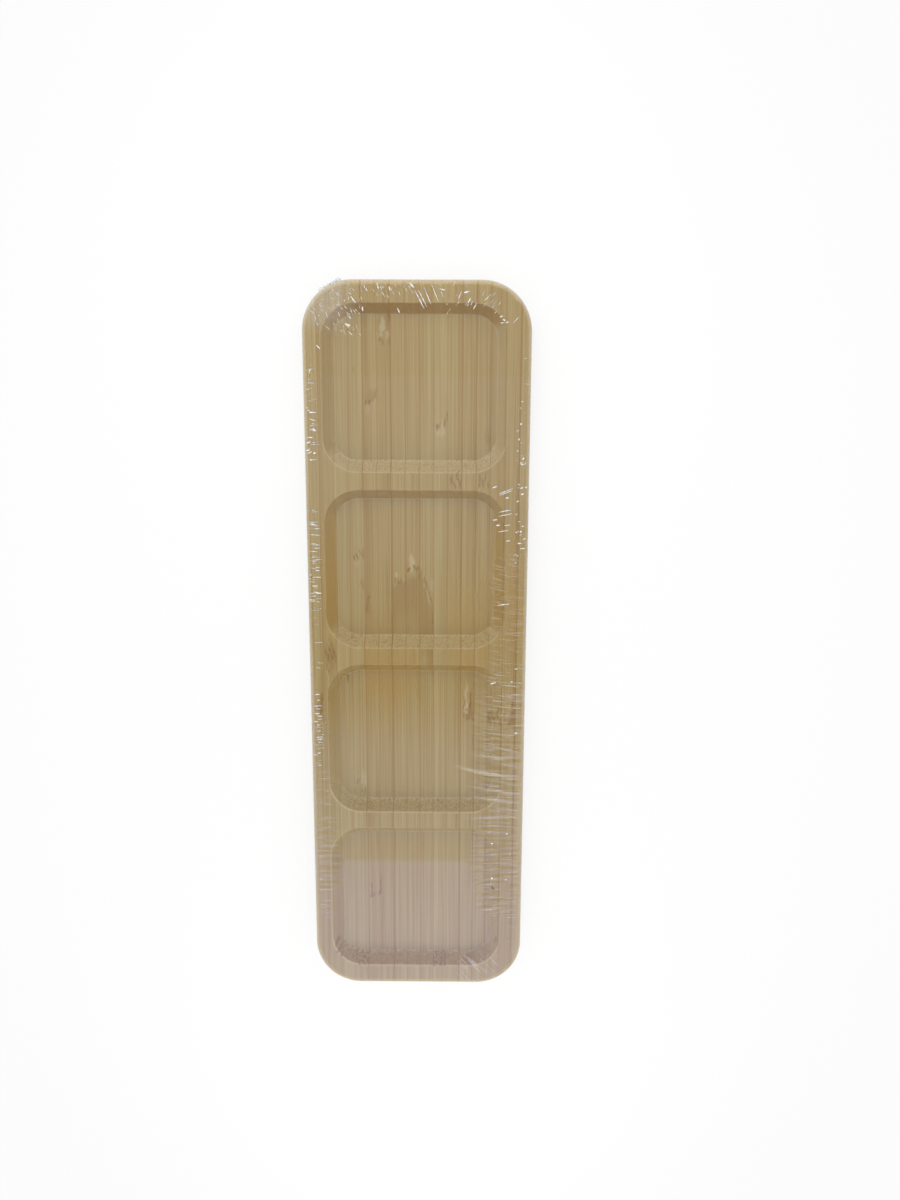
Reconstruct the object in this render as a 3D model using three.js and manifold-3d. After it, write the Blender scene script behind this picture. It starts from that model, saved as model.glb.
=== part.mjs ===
// A serving platter of laminated bamboo: strips glued side by side on edge into one board,
// with a row of wells with leaning walls routed into its top and its corners and edges rounded off.
// Millimetres, +Z up. The origin is under the middle of the board, on the face it rests on.
// X runs across the strips and Y along them.
import * as THREE from "three";
import { mergeVertices } from "three/addons/utils/BufferGeometryUtils.js";
import Module from "manifold-3d";

// Driving dimensions of the board
const BOARD_LENGTH = 370;
const BOARD_WIDTH = 110;
const BOARD_THICKNESS = 15;
const CORNER_RADIUS = 24; // of the board's outline, seen from above
const EDGE_ROUND = 3; // round-over of the outer edges, top and bottom

// Driving dimensions of the strips, which are counted from the left edge
const STRIP_WIDTH = 7;
const LEAST_OFFCUT = 2; // a narrower remainder at the right edge stays on its neighbour

// Driving dimensions of the wells
const WELL_COUNT = 4;
const END_RIM = 10.6; // from each end of the board to the nearest well
const LEFT_RIM = 8.7;
const RIGHT_RIM = 11.1;
const BRIDGE = 8.7; // between one well and the next
const FLOOR_THICKNESS = 7.5; // of the bamboo left under a well
const WELL_CORNER = 17; // corner radius of a well's lip, seen from above
const WALL_RUN = 5; // how far a wall leans in from its lip to the floor
const FLOOR_ROUND = 1.2; // where a wall meets the floor
const LIP_ROUND = 0.8; // sanded edge where a wall meets the top

// Smoothness of the rounded stretches: flats in each quarter turn of an outline or edge,
// or in each round of a well's wall
const CORNER_FLATS = 8;
const EDGE_FLATS = 3;
const WELL_CORNER_FLATS = 8;
const FLOOR_FLATS = 2;
const LIP_FLATS = 2;

const LEAST_RADIUS = 0.5; // an inset corner is never sharper than this
const OVERCUT = 5; // how far a cutter runs past the faces that it cuts

// Colours of the strips, from the palest to the brownest
const BAMBOO_TONES = { pale: 0xd9c49a, golden: 0xcdb283, brown: 0xbd9c6b };
const TONE_ORDER = [
  "golden", "brown", "pale", "pale", "brown", "brown", "pale", "golden",
  "golden", "pale", "golden", "golden", "golden", "brown", "golden", "golden",
];
const ROUGHNESS = 0.55;

const wasm = await Module();
wasm.setup();

// Solids

function toSolid(geometry) {
  const bare = geometry.clone();
  bare.deleteAttribute("normal");
  bare.deleteAttribute("uv");
  const merged = mergeVertices(bare);
  return new wasm.Manifold(
    new wasm.Mesh({
      numProp: 3,
      vertProperties: new Float32Array(merged.attributes.position.array),
      triVerts: new Uint32Array(merged.index.array),
    }),
  );
}

function toGeometry(solid) {
  const mesh = solid.getMesh();
  const geometry = new THREE.BufferGeometry();
  geometry.setAttribute("position", new THREE.BufferAttribute(mesh.vertProperties, 3));
  geometry.setIndex(new THREE.BufferAttribute(mesh.triVerts, 1));
  const faceted = geometry.toNonIndexed();
  faceted.computeVertexNormals();
  return faceted;
}

// Outlines, seen from above and counter-clockwise

function roundedRectangle(box, radius) {
  const { left, right, near, far } = box;
  const most = Math.min(right - left, far - near) / 2;
  const r = Math.min(Math.max(radius, LEAST_RADIUS), most);
  const quarter = Math.PI / 2;
  const outline = new THREE.Shape();
  outline.absarc(right - r, far - r, r, 0, quarter);
  outline.absarc(left + r, far - r, r, quarter, 2 * quarter);
  outline.absarc(left + r, near + r, r, 2 * quarter, 3 * quarter);
  outline.absarc(right - r, near + r, r, 3 * quarter, 4 * quarter);
  return outline;
}

function inset(box, by) {
  return { left: box.left + by, right: box.right - by, near: box.near + by, far: box.far - by };
}

// The glued blank, cut to its outline and rounded over at its edges

function boardBlank() {
  const outline = roundedRectangle(
    {
      left: -BOARD_WIDTH / 2,
      right: BOARD_WIDTH / 2,
      near: -BOARD_LENGTH / 2,
      far: BOARD_LENGTH / 2,
    },
    CORNER_RADIUS,
  );
  const round = Math.min(EDGE_ROUND, BOARD_THICKNESS / 2 - LEAST_RADIUS);
  const geometry = new THREE.ExtrudeGeometry(outline, {
    depth: BOARD_THICKNESS - 2 * round,
    curveSegments: CORNER_FLATS / 2, // an arc takes two flats for each segment asked for
    bevelThickness: round,
    bevelSize: round,
    bevelOffset: -round,
    bevelSegments: EDGE_FLATS,
  });
  return toSolid(geometry.translate(0, 0, round));
}

// A well's wall from the floor up: how far each point stands in from the lip, and its height.
// Floor, wall and top are flat, and meet in two small rounds.

function wallProfile() {
  const depth = BOARD_THICKNESS - FLOOR_THICKNESS;
  const lean = Math.atan2(depth, WALL_RUN);
  const floorReach = FLOOR_ROUND * Math.tan(lean / 2); // from the round's ends to the corner it takes off
  const lipReach = LIP_ROUND * Math.tan(lean / 2);
  const points = [];
  for (let i = 0; i <= FLOOR_FLATS; i++) {
    const turn = (lean * i) / FLOOR_FLATS;
    points.push({
      inset: WALL_RUN + floorReach - FLOOR_ROUND * Math.sin(turn),
      height: FLOOR_THICKNESS + FLOOR_ROUND * (1 - Math.cos(turn)),
    });
  }
  for (let i = 0; i <= LIP_FLATS; i++) {
    const turn = lean * (1 - i / LIP_FLATS);
    points.push({
      inset: LIP_ROUND * Math.sin(turn) - lipReach,
      height: BOARD_THICKNESS - LIP_ROUND * (1 - Math.cos(turn)),
    });
  }
  points.push({ inset: -lipReach, height: BOARD_THICKNESS + OVERCUT });
  return points;
}

// A solid whose outline changes with height: one ring of points for each step of the wall

function loft(box, radius, profile) {
  const rings = profile.map((step) => {
    const outline = roundedRectangle(inset(box, step.inset), radius - step.inset);
    return outline.getPoints(WELL_CORNER_FLATS / 2).map((p) => [p.x, p.y, step.height]);
  });
  const count = rings[0].length;
  const index = [];
  for (let ring = 0; ring + 1 < rings.length; ring++) {
    for (let i = 0; i < count; i++) {
      const next = (i + 1) % count;
      const [a, b] = [ring * count + i, ring * count + next];
      index.push(a, b, b + count, a, b + count, a + count);
    }
  }
  const top = (rings.length - 1) * count;
  for (let i = 1; i + 1 < count; i++) {
    index.push(0, i + 1, i, top, top + i, top + i + 1);
  }
  const geometry = new THREE.BufferGeometry();
  geometry.setAttribute("position", new THREE.Float32BufferAttribute(rings.flat(2), 3));
  geometry.setIndex(index);
  return geometry;
}

function wellCutter(number) {
  const length = (BOARD_LENGTH - 2 * END_RIM - (WELL_COUNT - 1) * BRIDGE) / WELL_COUNT;
  const far = BOARD_LENGTH / 2 - END_RIM - number * (length + BRIDGE);
  const box = {
    left: -BOARD_WIDTH / 2 + LEFT_RIM,
    right: BOARD_WIDTH / 2 - RIGHT_RIM,
    near: far - length,
    far,
  };
  return toSolid(loft(box, WELL_CORNER, wallProfile()));
}

function routedBoard() {
  let board = boardBlank();
  for (let number = 0; number < WELL_COUNT; number++) {
    board = board.subtract(wellCutter(number));
  }
  return board;
}

// The strips, which meet face to face along their glue lines

function glueLines() {
  const count = Math.max(1, Math.ceil((BOARD_WIDTH - LEAST_OFFCUT) / STRIP_WIDTH));
  const lines = [];
  for (let number = 1; number < count; number++) {
    lines.push(-BOARD_WIDTH / 2 + number * STRIP_WIDTH);
  }
  return lines;
}

function slab(left, right) {
  const geometry = new THREE.BoxGeometry(
    right - left,
    BOARD_LENGTH + 2 * OVERCUT,
    BOARD_THICKNESS + 2 * OVERCUT,
  );
  return toSolid(geometry.translate((left + right) / 2, 0, BOARD_THICKNESS / 2));
}

function bambooStrip(board, left, right, number) {
  const tone = BAMBOO_TONES[TONE_ORDER[number % TONE_ORDER.length]];
  const material = new THREE.MeshStandardMaterial({
    color: tone,
    roughness: ROUGHNESS,
    metalness: 0,
  });
  const mesh = new THREE.Mesh(toGeometry(board.intersect(slab(left, right))), material);
  mesh.name = "bamboo_strip_" + String(number + 1).padStart(2, "0");
  return mesh;
}

// The platter

const platter = new THREE.Group();
platter.name = "bamboo_serving_platter";
const board = routedBoard();
const edges = [
  -BOARD_WIDTH / 2 - OVERCUT,
  ...glueLines(),
  BOARD_WIDTH / 2 + OVERCUT,
];
for (let number = 0; number + 1 < edges.length; number++) {
  platter.add(bambooStrip(board, edges[number], edges[number + 1], number));
}

export default platter;
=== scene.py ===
"""Looks of a serving platter of laminated bamboo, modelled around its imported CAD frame.

The board is modelled whole, as it is routed and sanded, and is then cut along its glue lines into
the strips that it is glued from. A clear shrink film is stretched over the board and its wells.
Meshes are in metres in the frame's own axes: X across the strips, Y along them and Z up. Sizes of
the grain and of the film's creases are in millimetres.
"""
import math
import random
from dataclasses import dataclass

import bmesh
import bpy
from bpy.props import FloatProperty, FloatVectorProperty, PointerProperty
from mathutils import Matrix, Vector


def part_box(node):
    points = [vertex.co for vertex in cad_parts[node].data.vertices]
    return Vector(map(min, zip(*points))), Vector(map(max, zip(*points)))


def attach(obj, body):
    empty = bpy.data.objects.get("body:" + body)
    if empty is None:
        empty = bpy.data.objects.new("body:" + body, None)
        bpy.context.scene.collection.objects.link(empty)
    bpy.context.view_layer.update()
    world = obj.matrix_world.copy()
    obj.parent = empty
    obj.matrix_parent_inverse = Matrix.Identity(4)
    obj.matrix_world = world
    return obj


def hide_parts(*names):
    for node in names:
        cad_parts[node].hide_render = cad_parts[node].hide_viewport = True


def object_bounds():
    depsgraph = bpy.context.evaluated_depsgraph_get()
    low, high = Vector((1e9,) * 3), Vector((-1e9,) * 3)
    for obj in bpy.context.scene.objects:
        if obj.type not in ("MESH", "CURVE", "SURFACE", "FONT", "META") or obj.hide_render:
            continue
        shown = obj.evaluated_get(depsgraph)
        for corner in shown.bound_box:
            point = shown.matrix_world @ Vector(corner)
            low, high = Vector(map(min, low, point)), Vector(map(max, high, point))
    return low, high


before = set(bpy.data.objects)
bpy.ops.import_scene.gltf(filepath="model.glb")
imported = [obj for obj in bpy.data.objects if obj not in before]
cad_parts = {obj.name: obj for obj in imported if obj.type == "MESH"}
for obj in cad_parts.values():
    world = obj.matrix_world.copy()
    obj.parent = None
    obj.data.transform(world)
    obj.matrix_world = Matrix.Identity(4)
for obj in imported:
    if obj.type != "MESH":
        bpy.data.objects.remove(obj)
CAD_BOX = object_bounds()

bl_info = {
    "name": "Bamboo Serving Platter",
    "version": (1, 0, 0),
    "blender": (4, 5, 0),
    "location": "View3D > Sidebar > Platter",
    "description": "Models a platter of laminated bamboo strips with routed wells, in a clear shrink film",
    "category": "Add Mesh",
}

MM = 0.001
HAIR = 1e-6  # metres; two places this close are the same place
STRIP_NODES = sorted(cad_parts)
BOARD_LOW, BOARD_HIGH = (Vector(corner) for corner in CAD_BOX)
WELL_COUNT = 4

# Facets along each round
CORNER_FACETS = 24
EDGE_FACETS = 8
WELL_CORNER_FACETS = 20
FLOOR_ROUND_FACETS = 6
LIP_FACETS = 4
SMOOTH_BELOW = math.radians(40)  # faces that meet at less than this angle shade as one
ON_WALL = 0.05 * MM  # an edge this near a well's outline belongs to its lip

# The crumpled ear of film at the far left corner
EAR_START = Vector((-46.5, 179.3)) * MM
EAR_END = Vector((-36, 185)) * MM
EAR_WIDTH = 2.6 * MM
EAR_CRUMPLE = 0.55 * MM
EAR_SEED = 5
FOLD_SEED = 11
FOLD_CORNERS = 12  # of the outline of one fold
# White of the folds in the film: painted glints, partly the whitish look of creased film
FOLD_GLINT_WHITE = (0.95, 0.93, 0.90)
EAR_WHITE = (0.86, 0.91, 0.93)

# The stage, in metres
FLOOR_SIZE = 8
CEILING_HEIGHT = 1.0
CEILING_MIDDLE_Y = -1.0
CEILING_WIDTH, CEILING_LENGTH = 3.0, 3.4
CEILING_STRENGTH = 2.8  # of the ceiling's light at its brightest


# Settings


def length(name, description, millimetres):
    """A property for a length, whose default is given in millimetres."""
    return FloatProperty(name=name, description=description, default=millimetres * MM, unit="LENGTH")


def colour(name, description, red, green, blue):
    """A property for a linear colour."""
    return FloatVectorProperty(
        name=name, description=description, default=(red, green, blue), subtype="COLOR", size=3, min=0, max=1
    )


class PlatterSizes(bpy.types.PropertyGroup):
    """Sizes of the routed board and of the film over it."""

    corner_radius: length("Corner radius", "Radius of the board's corners, seen from above", 24)
    edge_round: length("Edge round-over", "Radius of the board's outer edges", 3)
    end_rim: length("End rim", "From each end of the board to the nearest well", 10.6)
    left_rim: length("Left rim", "From the board's left edge to the wells", 8.7)
    right_rim: length("Right rim", "From the board's right edge to the wells", 11.1)
    bridge: length("Bridge", "Between one well and the next", 8.7)
    floor_height: length("Floor height", "Thickness of the bamboo under a well", 7.5)
    well_corner: length("Well corner", "Corner radius of a well's lip, seen from above", 17)
    wall_run: length("Wall run", "How far a well's wall leans in from its lip to its floor", 5)
    floor_round: length("Floor round", "Where a wall meets the floor", 1.2)
    lip_round: length("Lip round", "Sanded edge where a wall meets the top", 0.8)
    film_gap: length("Film gap", "Between the bamboo and the film over it", 0.15)
    film_thickness: length("Film thickness", "Thickness of the shrink film", 0.04)
    film_hem: length("Film hem", "Height of the film's lower edge above the table", 1.2)
    fold_thickness: length("Fold thickness", "How far a fold in the film stands up", 0.06)


class PlatterColours(bpy.types.PropertyGroup):
    """Colours of the bamboo, the film and the stage."""

    pale: colour("Pale bamboo", "Between the fibres", 0.474, 0.350, 0.128)
    dark: colour("Dark bamboo", "Where the fibres lie close together", 0.362, 0.222, 0.040)
    # Fibre also paints shade on the far walls of the two far wells
    fibre_and_shade: colour("Fibre", "Single dark fibres and the figure below a knuckle", 0.335, 0.180, 0.018)
    # Golden also paints shade on the nearest well's walls facing +Y
    golden: colour("Golden bamboo", "Stretches of richer colour along a strip", 0.450, 0.275, 0.052)
    glue: colour("Glue line", "Between two strips", 0.345, 0.180, 0.012)
    knuckle: colour("Knuckle", "Strokes where a strip crosses a knuckle of the stem", 0.275, 0.140, 0.016)
    scorch: colour("Scorch", "Dots and burns on the end grain", 0.220, 0.105, 0.016)
    # Fresh bamboo also paints light on the wells' side walls and on their walls facing +Y
    fresh_and_lit: colour("Fresh bamboo", "Pale wood beside a knuckle and on torn grain", 0.575, 0.460, 0.245)
    # The lip colour is the painted highlight along the wells' sanded lips
    lip: colour("Lip", "Sanded edge of a well", 0.700, 0.550, 0.310)
    floor: colour("Floor", "Plain surface that the platter lies on", 0.95, 0.95, 0.95)


class PlatterStage(bpy.types.PropertyGroup):
    """Camera and lights."""

    camera_place: FloatVectorProperty(
        name="Camera place", description="Where the camera hangs", default=(0.02038, 0.16185, 0.57755),
        subtype="XYZ", unit="LENGTH", size=3,
    )
    pitch: FloatProperty(
        name="Pitch", description="Camera's tilt from straight down, towards the near end",
        default=math.radians(13.21), subtype="ANGLE",
    )
    yaw: FloatProperty(
        name="Yaw", description="Camera's tilt to the side", default=math.radians(-0.407), subtype="ANGLE"
    )
    roll: FloatProperty(
        name="Roll", description="Camera's turn about its own axis", default=math.radians(-0.23),
        subtype="ANGLE",
    )
    lens: FloatProperty(name="Lens", description="Focal length in millimetres", default=34.5)
    sky: FloatProperty(name="Sky", description="Strength of the even light from all around", default=0.95)


# Modelling


def only(piece):
    """Select this object alone and make it active."""
    bpy.ops.object.select_all(action="DESELECT")
    piece.select_set(True)
    bpy.context.view_layer.objects.active = piece


def add_block(name, low, high):
    """A new box between two corners, with its place in its mesh, left open in edit mode."""
    low, high = Vector(low), Vector(high)
    bpy.ops.object.select_all(action="DESELECT")
    bpy.ops.mesh.primitive_cube_add(size=1, location=(low + high) / 2, scale=high - low)
    block = bpy.context.object
    block.name = block.data.name = name
    bpy.ops.object.transform_apply(location=True, rotation=True, scale=True)
    bpy.ops.object.mode_set(mode="EDIT")
    return block


def select_edges(piece, wanted):
    """In edit mode, select just the edges whose two ends satisfy wanted."""
    bpy.ops.mesh.select_mode(type="EDGE")
    bpy.ops.mesh.select_all(action="DESELECT")
    mesh = bmesh.from_edit_mesh(piece.data)
    for edge in mesh.edges:
        if wanted(edge.verts[0].co, edge.verts[1].co):
            edge.select_set(True)
    bmesh.update_edit_mesh(piece.data)


def round_edges(radius, segments):
    """Round the selected edges over."""
    bpy.ops.mesh.bevel(offset=radius, segments=segments, profile=0.5, affect="EDGES", clamp_overlap=False)


def upright(a, b):
    return (a - b).xy.length < HAIR


def at_height(height):
    """A test for edges that lie level at this height."""
    return lambda a, b: abs(a.z - height) < HAIR and abs(b.z - height) < HAIR


def object_mode():
    bpy.ops.object.mode_set(mode="OBJECT")


def apply_modifier(piece, kind, **settings):
    """Add a modifier with these settings and apply it."""
    only(piece)
    modifier = piece.modifiers.new(kind.lower(), kind)
    for name, value in settings.items():
        setattr(modifier, name, value)
    bpy.ops.object.modifier_apply(modifier=modifier.name)


def smooth(piece):
    """Shade round stretches smooth and keep flat faces flat."""
    only(piece)
    bpy.ops.object.shade_smooth_by_angle(angle=SMOOTH_BELOW)
    apply_modifier(piece, "WEIGHTED_NORMAL", keep_sharp=True)


def well_boxes(sizes):
    """Left, near, right and far edge of each well, at the straight part of its walls."""
    span = BOARD_HIGH.y - BOARD_LOW.y - 2 * sizes.end_rim - (WELL_COUNT - 1) * sizes.bridge
    well = span / WELL_COUNT
    left = BOARD_LOW.x + sizes.left_rim
    right = BOARD_HIGH.x - sizes.right_rim
    for number in range(WELL_COUNT):
        far = BOARD_HIGH.y - sizes.end_rim - number * (well + sizes.bridge)
        yield left, far - well, right, far


def model_board(sizes):
    """The glued board, cut to its outline, routed and sanded, in one piece."""
    board = add_block("board", BOARD_LOW, BOARD_HIGH)
    select_edges(board, upright)
    round_edges(sizes.corner_radius, CORNER_FACETS)
    select_edges(board, at_height(BOARD_HIGH.z))
    round_edges(sizes.edge_round, EDGE_FACETS)
    select_edges(board, at_height(BOARD_LOW.z))
    round_edges(sizes.edge_round, EDGE_FACETS)
    object_mode()
    boxes = list(well_boxes(sizes))
    for box in boxes:
        cutter = model_well_cutter(sizes, box)
        apply_modifier(board, "BOOLEAN", operation="DIFFERENCE", solver="EXACT", object=cutter)
        bpy.data.objects.remove(cutter)
    sand_lips(board, sizes, boxes)
    return board


def model_well_cutter(sizes, box):
    """The space that the router clears for one well: a chamfered block, stretched to the well's depth."""
    left, near, right, far = box
    top, run = BOARD_HIGH.z, sizes.wall_run
    cutter = add_block("well_cutter", (left, near, top - run), (right, far, top + run))
    select_edges(cutter, upright)
    round_edges(sizes.well_corner, WELL_CORNER_FACETS)
    select_edges(cutter, at_height(top - run))
    round_edges(run, 1)
    bpy.ops.mesh.select_all(action="SELECT")
    stretch = (top - sizes.floor_height) / run
    bpy.ops.transform.resize(value=(1, 1, stretch), center_override=(0, 0, top))
    select_edges(cutter, at_height(sizes.floor_height))
    round_edges(sizes.floor_round * wall_bend(sizes), FLOOR_ROUND_FACETS)
    object_mode()
    return cutter


def wall_bend(sizes):
    """How far a round of radius 1 reaches from the corner between a wall and a level face."""
    return math.tan(math.atan2(BOARD_HIGH.z - sizes.floor_height, sizes.wall_run) / 2)


def sand_lips(board, sizes, boxes):
    """Round the edge where each well's wall meets the top."""

    def on_lip(a, b):
        level = at_height(BOARD_HIGH.z)(a, b)
        middle = (a + b) / 2
        on_wall = any(abs(rounded_distance(middle, box, sizes.well_corner)) < ON_WALL for box in boxes)
        return level and on_wall

    only(board)
    bpy.ops.object.mode_set(mode="EDIT")
    select_edges(board, on_lip)
    round_edges(sizes.lip_round * wall_bend(sizes), LIP_FACETS)
    object_mode()


def rounded_distance(point, box, radius):
    """How far a point lies outside a rectangle with round corners; less than 0 inside."""
    left, near, right, far = box
    x = abs(point.x - (left + right) / 2) - (right - left) / 2 + radius
    y = abs(point.y - (near + far) / 2) - (far - near) / 2 + radius
    return math.hypot(max(x, 0), max(y, 0)) + min(max(x, y), 0) - radius


def cut_strip(board, node):
    """A copy of the board, cut along the glue lines on both sides of one strip."""
    low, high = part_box(node)
    strip = board.copy()
    strip.data = board.data.copy()
    strip.name = strip.data.name = node.replace("bamboo_strip", "finished_strip")
    bpy.context.scene.collection.objects.link(strip)
    only(strip)
    bpy.ops.object.mode_set(mode="EDIT")
    for glue_line, outward in ((low.x, -1), (high.x, 1)):
        if BOARD_LOW.x + HAIR < glue_line < BOARD_HIGH.x - HAIR:
            bpy.ops.mesh.select_all(action="SELECT")
            bpy.ops.mesh.bisect(
                plane_co=(glue_line, 0, 0), plane_no=(outward, 0, 0), use_fill=True, clear_outer=True,
                threshold=HAIR,
            )
            select_edges(strip, lambda a, b: abs(a.x - glue_line) < HAIR and abs(b.x - glue_line) < HAIR)
            bpy.ops.mesh.mark_sharp()
    object_mode()
    smooth(strip)
    return strip


def model_film(sizes):
    """Shrink film over the top and sides of the board, taut across the wells."""
    gap = Vector((sizes.film_gap,) * 3)
    film = add_block("shrink_film", BOARD_LOW - gap, BOARD_HIGH + gap)
    select_edges(film, upright)
    round_edges(sizes.corner_radius + sizes.film_gap, CORNER_FACETS)
    select_edges(film, at_height(BOARD_HIGH.z + sizes.film_gap))
    round_edges(sizes.edge_round + sizes.film_gap, EDGE_FACETS)
    select_edges(film, at_height(BOARD_LOW.z - sizes.film_gap))
    round_edges(sizes.edge_round + sizes.film_gap, EDGE_FACETS)
    bpy.ops.mesh.select_all(action="SELECT")
    bpy.ops.mesh.bisect(
        plane_co=(0, 0, sizes.film_hem), plane_no=(0, 0, -1), clear_outer=True, threshold=HAIR,
    )
    object_mode()
    apply_modifier(film, "SOLIDIFY", thickness=sizes.film_thickness, offset=1, use_even_offset=True)
    smooth(film)
    return film


@dataclass
class Fold:
    """A small fold in the film: its middle, its length, its angle from +X in degrees and its width."""

    x: float
    y: float
    length: float
    angle: float
    width: float = 0.5


@dataclass
class Wrinkles:
    """A patch of small folds: where they lie, how many there are, and the least and most of each size."""

    left: float
    right: float
    near: float
    far: float
    count: int
    lengths: tuple
    angles: tuple
    widths: tuple = (0.25, 0.4)

    def folds(self, chance):
        for _ in range(self.count):
            yield Fold(
                chance.uniform(self.left, self.right), chance.uniform(self.near, self.far),
                chance.uniform(*self.lengths), chance.uniform(*self.angles), chance.uniform(*self.widths),
            )


# The folds whose white paints glints, from the far rim down the right side and then on the left
PLAIN_FOLDS = (
    Fold(-2.3, 182.4, 3.6, -45, 0.8), Fold(1.3, 176.0, 10, -62, 0.4), Fold(2.9, 176.3, 8.8, -62, 0.4),
    Fold(5.2, 177.5, 8.4, -67, 0.4), Fold(8.7, 178.9, 9, -67, 0.35), Fold(12.4, 180.5, 3.3, -10, 0.5),
    Fold(-18.4, 182.1, 3, -78, 0.6), Fold(-12.8, 180.8, 2.4, -75, 0.6), Fold(-30, 175.7, 4.2, -53),
    Fold(-25.7, 171.4, 2.2, -80, 0.6), Fold(-8.6, 170.8, 2.6, -65), Fold(-32.9, 164.1, 2.8, -15, 0.8),
    Fold(20.5, 177.8, 4.2, 68, 0.4), Fold(23.8, 179.4, 3, 15, 0.8), Fold(25, 175.5, 3.2, 60),
    Fold(27.7, 173, 3.8, 62, 0.4), Fold(33.8, 177, 5, 42, 0.3), Fold(40.2, 168.2, 1.6, 30, 0.6),
    Fold(41.5, 166.6, 1.4, -20, 0.7), Fold(40.8, 165.3, 1.6, 10), Fold(43.2, 165.6, 1.5, 20, 0.6),
    Fold(47.2, 166.6, 3.6, 48, 0.35),
    Fold(38.2, 86.9, 2.8, 22, 0.6), Fold(43.7, 84.9, 7.2, 21), Fold(43.6, 84.0, 7, 21, 0.35),
    Fold(44.4, 81.6, 1.8, 10, 0.6), Fold(43.2, 75, 6.4, 11), Fold(43.5, 73.1, 7.3, 12, 0.4),
    Fold(38.4, 70.6, 2.5, 8), Fold(40, 67.9, 1.8, 8, 0.8), Fold(44.5, 68, 3, 8),
    Fold(42.6, 65, 5.3, 8, 0.4),
    Fold(45, 60.1, 2.2, 5), Fold(43.2, 27.6, 6.4, 7),
    Fold(51.3, 86.5, 1.6, 20, 0.7), Fold(51.7, 83.5, 1.4, 10, 1.0), Fold(49.7, 80, 1.2, 0, 0.6),
    Fold(51.3, 64.8, 1.2, 40, 0.8), Fold(50.8, 58.9, 2, 0, 0.7), Fold(52.3, 56.3, 2.6, 0),
    Fold(50.5, 117.6, 1.0, 60, 0.8), Fold(49.6, 110.2, 1.0, 60, 0.8),
    Fold(38.6, -13.7, 3, 15, 0.7), Fold(50.2, -6, 1.5, 10, 0.7), Fold(48, -12.9, 1.2, 0, 0.7),
    Fold(50.6, -40.5, 1.6, 10, 0.7), Fold(46.9, -96.6, 1.4, 15, 0.6), Fold(39.1, -102.3, 1.4, 15, 0.6),
    Fold(48.6, -108.2, 1.2, 15, 0.6), Fold(39.3, -122.2, 1.2, 15, 0.9), Fold(46.6, -123, 1.2, 15, 0.6),
    Fold(-47.1, 153.7, 2.8, -48), Fold(-51.7, -123.4, 1.2, 0, 0.8), Fold(-51.5, 142.5, 2.6, 75, 0.5),
    Fold(-51.2, 122.8, 2.2, 0, 0.8), Fold(-50.6, 119.2, 2.8, -20, 0.6), Fold(-50.4, 114.2, 3.4, -15, 0.6),
    Fold(-51.6, 69, 5.4, 0, 0.4), Fold(-51.6, 67.6, 5.0, -2, 0.4), Fold(-50.8, 62.6, 6, -3, 0.4),
    Fold(-49.9, 57.6, 3.4, 0, 0.4), Fold(-50, 56, 3, 0, 0.4), Fold(-50.4, 50, 6, 6, 0.35),
    Fold(-49.9, 46.2, 2, 0, 0.5), Fold(-49.9, 44.6, 2, 0, 0.5), Fold(-50.3, 41.2, 5, 0, 0.4),
    Fold(-49.8, 33, 3.6, 0, 0.6), Fold(-51.5, -43.5, 1.8, 0, 0.8), Fold(-51.2, -28, 2.2, 0, 0.5),
)
RIM_FOLDS = (
    Wrinkles(-54.0, -49.5, 28, 75, 20, (1.5, 4.5), (-6, 6), (0.4, 0.6)),
    Wrinkles(-53.5, -49.5, 98, 126, 10, (1.0, 3.0), (-30, 30), (0.5, 0.8)),
    Wrinkles(-54.0, -50.0, -60, -20, 18, (1.0, 3.0), (-8, 8), (0.4, 0.7)),
    Wrinkles(49.0, 53.5, 55, 125, 10, (0.8, 1.6), (-30, 60), (0.5, 0.7)),
)
FINE_FOLDS = (
    Wrinkles(-54.3, -49, -60, 150, 60, (1.0, 5.0), (-8, 8), (0.25, 0.5)),
    Wrinkles(48.5, 54, 40, 150, 24, (0.8, 1.6), (-30, 60), (0.4, 0.6)),
    Wrinkles(-50, -26, 160, 185, 80, (1.2, 4.0), (-78, -35), (0.25, 0.4)),
    Wrinkles(-26, 14, 177, 185, 26, (1.5, 4.0), (-72, -58)),
    Wrinkles(14, 40, 170, 184, 18, (1.5, 4.0), (48, 65)),
)


def model_folds(name, folds, sizes, film):
    """Narrow lens-shaped folds, laid on the film and following its rounded edges."""
    outline = (BOARD_LOW.x, BOARD_LOW.y, BOARD_HIGH.x, BOARD_HIGH.y)
    above = BOARD_HIGH.z + sizes.edge_round
    lenses = []
    for fold in folds:
        turn = math.radians(fold.angle)
        middle = Vector((fold.x, fold.y, 0)) * MM
        reach = Vector((math.cos(turn), math.sin(turn), 0)) * fold.length * MM / 2
        ends = (middle - reach, middle + reach)
        if all(rounded_distance(end, outline, sizes.corner_radius) < 0 for end in ends):
            bpy.ops.mesh.primitive_circle_add(
                vertices=FOLD_CORNERS, radius=0.5 * MM, fill_type="NGON",
                location=(middle.x, middle.y, above), rotation=(0, 0, turn),
            )
            lens = bpy.context.object
            lens.scale = (fold.length, fold.width, 1)
            lenses.append(lens)
    piece = lenses[0]
    only(piece)
    for lens in lenses:
        lens.select_set(True)
    bpy.ops.object.join()
    piece.name = piece.data.name = name
    bpy.ops.object.transform_apply(location=True, rotation=True, scale=True)
    apply_modifier(
        piece, "SHRINKWRAP", target=film, wrap_method="PROJECT", use_project_z=True,
        use_positive_direction=False, use_negative_direction=True, offset=HAIR,
    )
    apply_modifier(piece, "SOLIDIFY", thickness=sizes.fold_thickness, offset=1)
    return piece


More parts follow.
